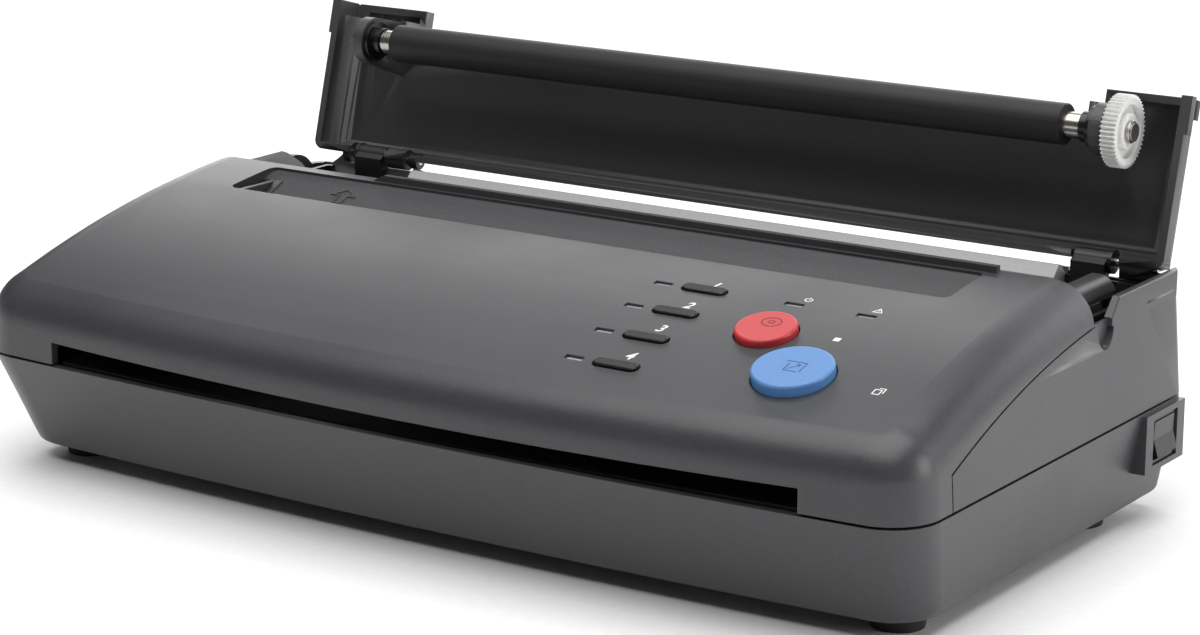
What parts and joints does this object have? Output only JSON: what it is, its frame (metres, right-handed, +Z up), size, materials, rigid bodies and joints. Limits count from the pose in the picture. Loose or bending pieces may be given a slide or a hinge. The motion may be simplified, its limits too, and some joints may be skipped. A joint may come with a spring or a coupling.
{
  "type": "thermal stencil copier",
  "caption": "Desk copier with a low arched cover, front exit slot, sloping feed recess, round and slim push buttons, and a hinged rear lid that carries a rubber platen with its gear.",
  "frame": {"origin": "centre of the footprint with the lid open, on the plane that the feet stand on", "axes": "+X to the operator's right along the machine, +Y to the rear, +Z up"},
  "size_m": [0.3022, 0.1765, 0.113],
  "materials": {
    "casing_grey": "satin moulded plastic",
    "black_plastic": "fine grained moulded plastic",
    "light_grey": "smooth moulded plastic",
    "rubber": "matt rubber",
    "steel": "machined steel",
    "white_gear": "moulded acetal",
    "stop_red": "satin moulded plastic",
    "copy_blue": "satin moulded plastic",
    "lamp": "clear moulded light guide",
    "aluminium": "milled",
    "ceramic": "glazed ceramic strip on its carrier",
    "sensor": "moulded housing",
    "sensor_glass": "clear",
    "board": "solder mask"
  },
  "bodies": {
    "casing": {"base_case": "casing_grey", "rubber_feet": "rubber", "case_screws": "steel", "top_cover": "casing_grey", "mode_lamps": "lamp", "status_lamps": "lamp", "panel_board": "board", "key_switches": "black_plastic", "rear_housing": "casing_grey", "chassis": "black_plastic", "head_deck": "light_grey", "deck_supports": "black_plastic", "hinge_bracket_left": "black_plastic", "hinge_bracket_right": "black_plastic", "hinge_pin_left": "steel", "hinge_pin_right": "steel", "hinge_bush": "steel", "heat_sink": "aluminium", "print_head": "ceramic", "drive_screw": "steel", "drive_motor": "steel", "motor_plate": "steel", "scan_frame": "steel", "image_sensor": "sensor", "sensor_glass": "sensor_glass", "scan_motor": "steel", "exit_tray": "black_plastic", "main_board": "board", "board_screws": "steel", "power_supply": "sensor", "power_inlet": "black_plastic", "switch_housing": "black_plastic"},
    "lid_frame": {"lid": "black_plastic", "platen_bush_left": "black_plastic", "platen_bush_right": "black_plastic"},
    "platen": {"platen_shaft": "steel", "platen_roller": "rubber", "platen_gear": "white_gear", "gear_clip": "steel"},
    "drive_wheel": {"drive_gear": "white_gear"},
    "motor_rotor": {"motor_pinion": "white_gear", "motor_shaft": "steel"},
    "scan_drum": {"scan_roller": "rubber", "scan_shaft": "steel", "scan_gear": "white_gear"},
    "scan_rotor": {"scan_pinion": "white_gear", "scan_motor_shaft": "steel"},
    "key_1": {"key_1": "black_plastic"},
    "key_2": {"key_2": "black_plastic"},
    "key_3": {"key_3": "black_plastic"},
    "key_4": {"key_4": "black_plastic"},
    "stop_button": {"stop_button": "stop_red"},
    "copy_button": {"copy_button": "copy_blue"},
    "power_rocker": {"power_rocker": "black_plastic"}
  },
  "joints": [
    {"name": "lid_hinge", "type": "hinge", "parent": "casing", "child": "lid_frame", "pos_m": [0, 0.06663, 0.0668], "axis": [1, 0, 0], "range_deg": [0, 105.3]},
    {"name": "platen_spin", "type": "hinge", "parent": "lid_frame", "child": "platen", "pos_m": [0, 0.06644, 0.10304], "axis": [1, 0, 0], "continuous": true},
    {"name": "drive_gear_spin", "type": "hinge", "parent": "casing", "child": "drive_wheel", "pos_m": [0, 0.03773, 0.03766], "axis": [1, 0, 0], "continuous": true},
    {"name": "motor_spin", "type": "hinge", "parent": "casing", "child": "motor_rotor", "pos_m": [0, 0.04473, 0.02791], "axis": [1, 0, 0], "continuous": true},
    {"name": "scan_roller_spin", "type": "hinge", "parent": "casing", "child": "scan_drum", "pos_m": [0, -0.01987, 0.0482], "axis": [1, 0, 0], "continuous": true},
    {"name": "scan_motor_spin", "type": "hinge", "parent": "casing", "child": "scan_rotor", "pos_m": [0, -0.00526, 0.0448], "axis": [1, 0, 0], "continuous": true},
    {"name": "key_1_press", "type": "slide", "parent": "casing", "child": "key_1", "axis": [0, 0.2541, -0.9672], "range_m": [0, 0.0006], "stiffness_N_per_m": 800, "springref_m": -0.0008},
    {"name": "key_2_press", "type": "slide", "parent": "casing", "child": "key_2", "axis": [0, 0.2541, -0.9672], "range_m": [0, 0.0006], "stiffness_N_per_m": 800, "springref_m": -0.0008},
    {"name": "key_3_press", "type": "slide", "parent": "casing", "child": "key_3", "axis": [0, 0.2541, -0.9672], "range_m": [0, 0.0006], "stiffness_N_per_m": 800, "springref_m": -0.0008},
    {"name": "key_4_press", "type": "slide", "parent": "casing", "child": "key_4", "axis": [0, 0.2541, -0.9672], "range_m": [0, 0.0006], "stiffness_N_per_m": 800, "springref_m": -0.0008},
    {"name": "stop_button_press", "type": "slide", "parent": "casing", "child": "stop_button", "axis": [0, 0.2541, -0.9672], "range_m": [0, 0.0006], "stiffness_N_per_m": 800, "springref_m": -0.0008},
    {"name": "copy_button_press", "type": "slide", "parent": "casing", "child": "copy_button", "axis": [0, 0.2541, -0.9672], "range_m": [0, 0.0006], "stiffness_N_per_m": 800, "springref_m": -0.0008},
    {"name": "rocker_tilt", "type": "hinge", "parent": "casing", "child": "power_rocker", "pos_m": [0.1476, 0.05453, 0.0243], "axis": [0, 1, 0], "range_deg": [0, 14]}
  ],
  "couplings": [
    {"joint": "motor_spin", "follows": "drive_gear_spin", "ratio": -4},
    {"joint": "scan_motor_spin", "follows": "scan_roller_spin", "ratio": -4}
  ]
}
